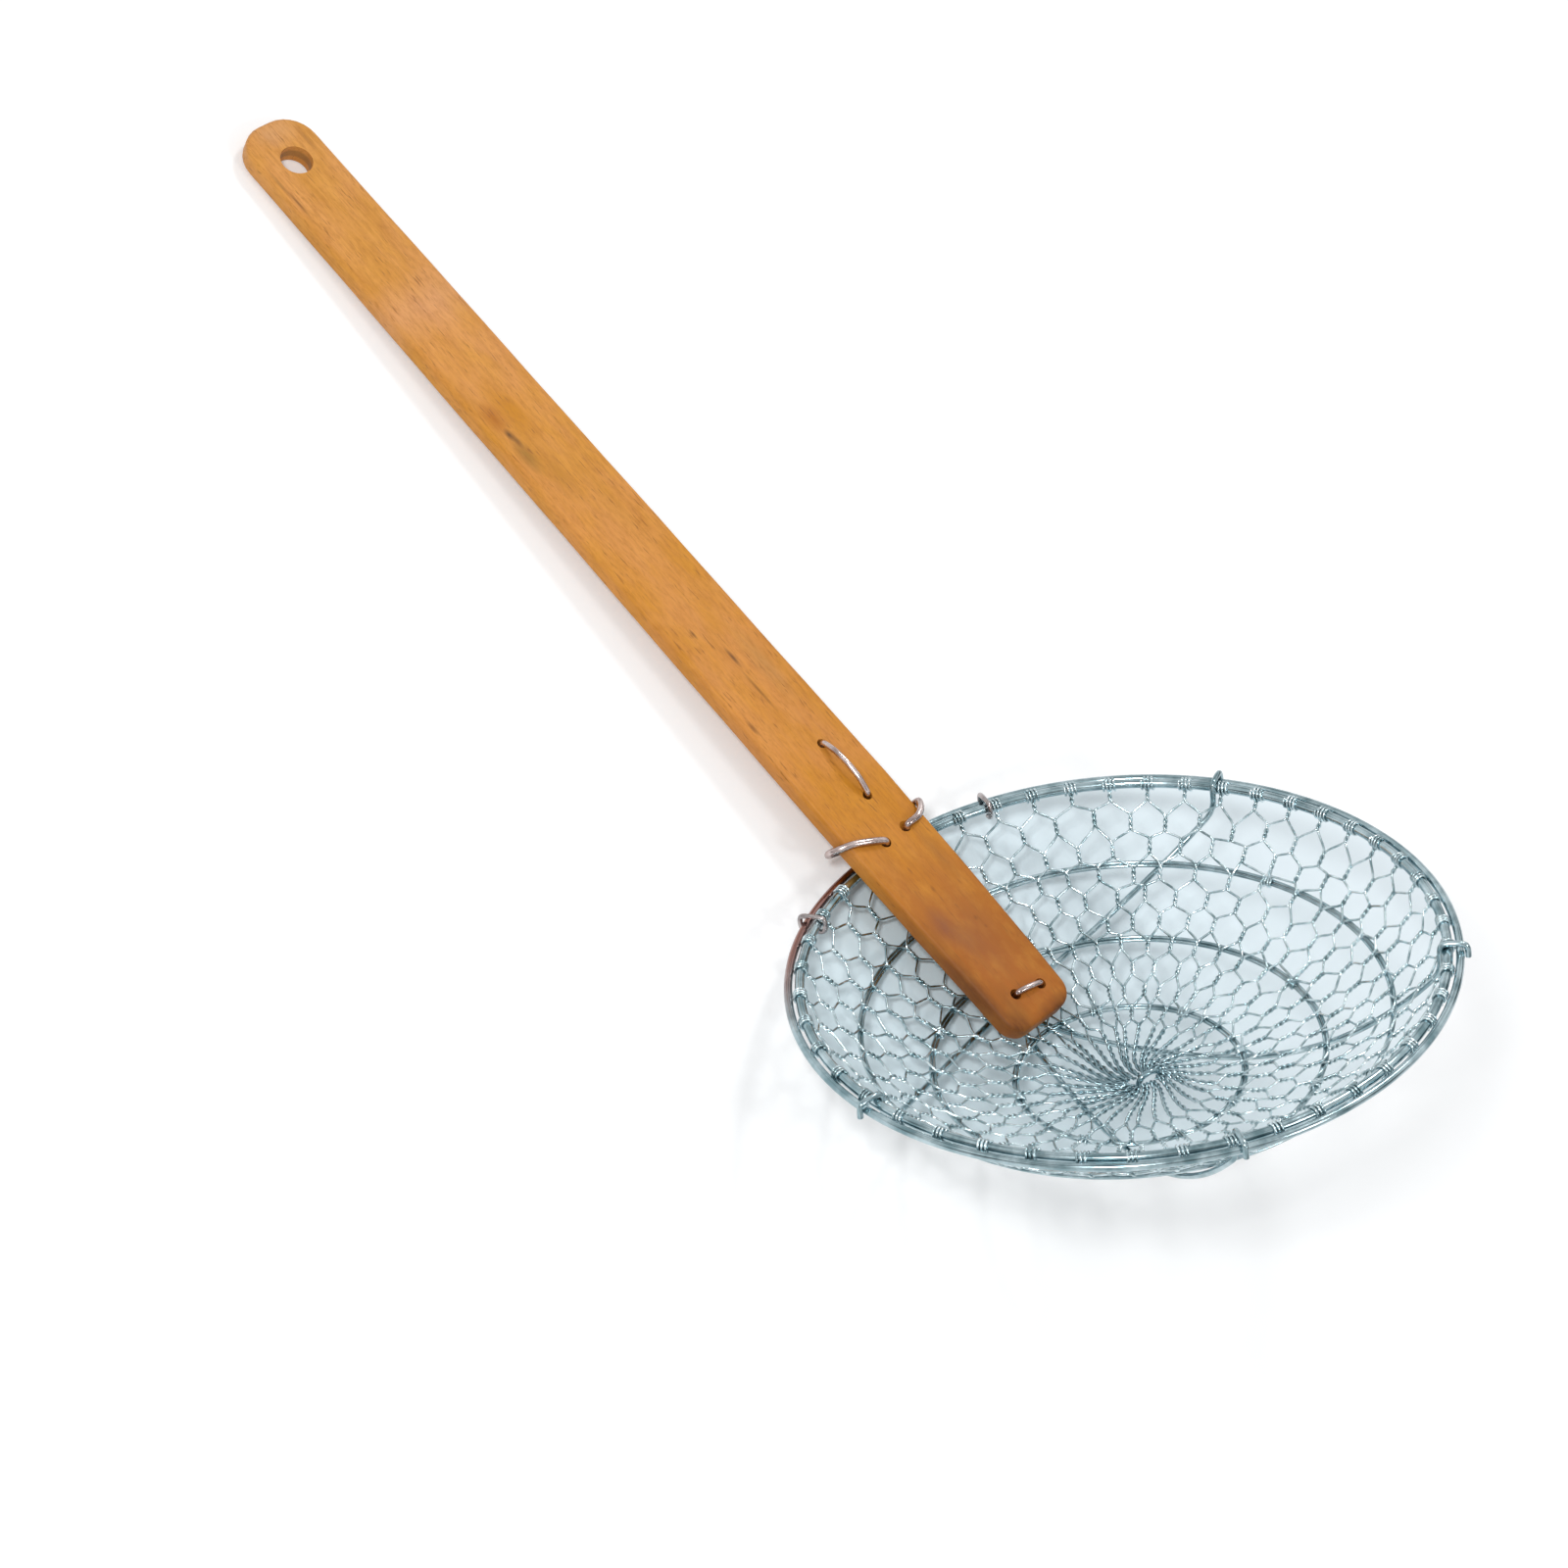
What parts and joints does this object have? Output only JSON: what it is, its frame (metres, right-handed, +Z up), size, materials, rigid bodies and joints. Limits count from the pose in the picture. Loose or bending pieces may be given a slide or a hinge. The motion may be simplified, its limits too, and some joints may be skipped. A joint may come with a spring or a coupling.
{
  "type": "spider skimmer",
  "caption": "Shallow wire basket of twisted hexagonal net on hooked ribs, lashed to a long flat wooden handle with a hanging hole, for lifting food out of hot oil or water.",
  "frame": {"origin": "on the table plane under the middle of the bounding box, in the pose the skimmer rests in", "axes": "+Z up, +X from the handle towards the basket, +Y to the left seen from the handle's end"},
  "size_m": [0.4736, 0.2042, 0.1294],
  "materials": {
    "bamboo": "smooth planed bamboo with a thin amber varnish",
    "basket_wire": "galvanised wire, teal-grey with bright highlights",
    "lashing_wire": "dull warm-grey wire"
  },
  "bodies": {
    "root": {"handle": "bamboo", "net_rim_ring": "basket_wire", "outer_rim_ring": "basket_wire", "hex_net": "basket_wire", "cross_rib": "basket_wire", "wishbone_rib": "basket_wire", "rim_clips": "basket_wire", "left_rim_tie": "lashing_wire", "right_rim_tie": "lashing_wire", "long_staple": "lashing_wire", "tip_staple": "lashing_wire", "upper_support_ring": "basket_wire", "middle_support_ring": "basket_wire", "lower_support_ring": "basket_wire"}
  },
  "joints": []
}
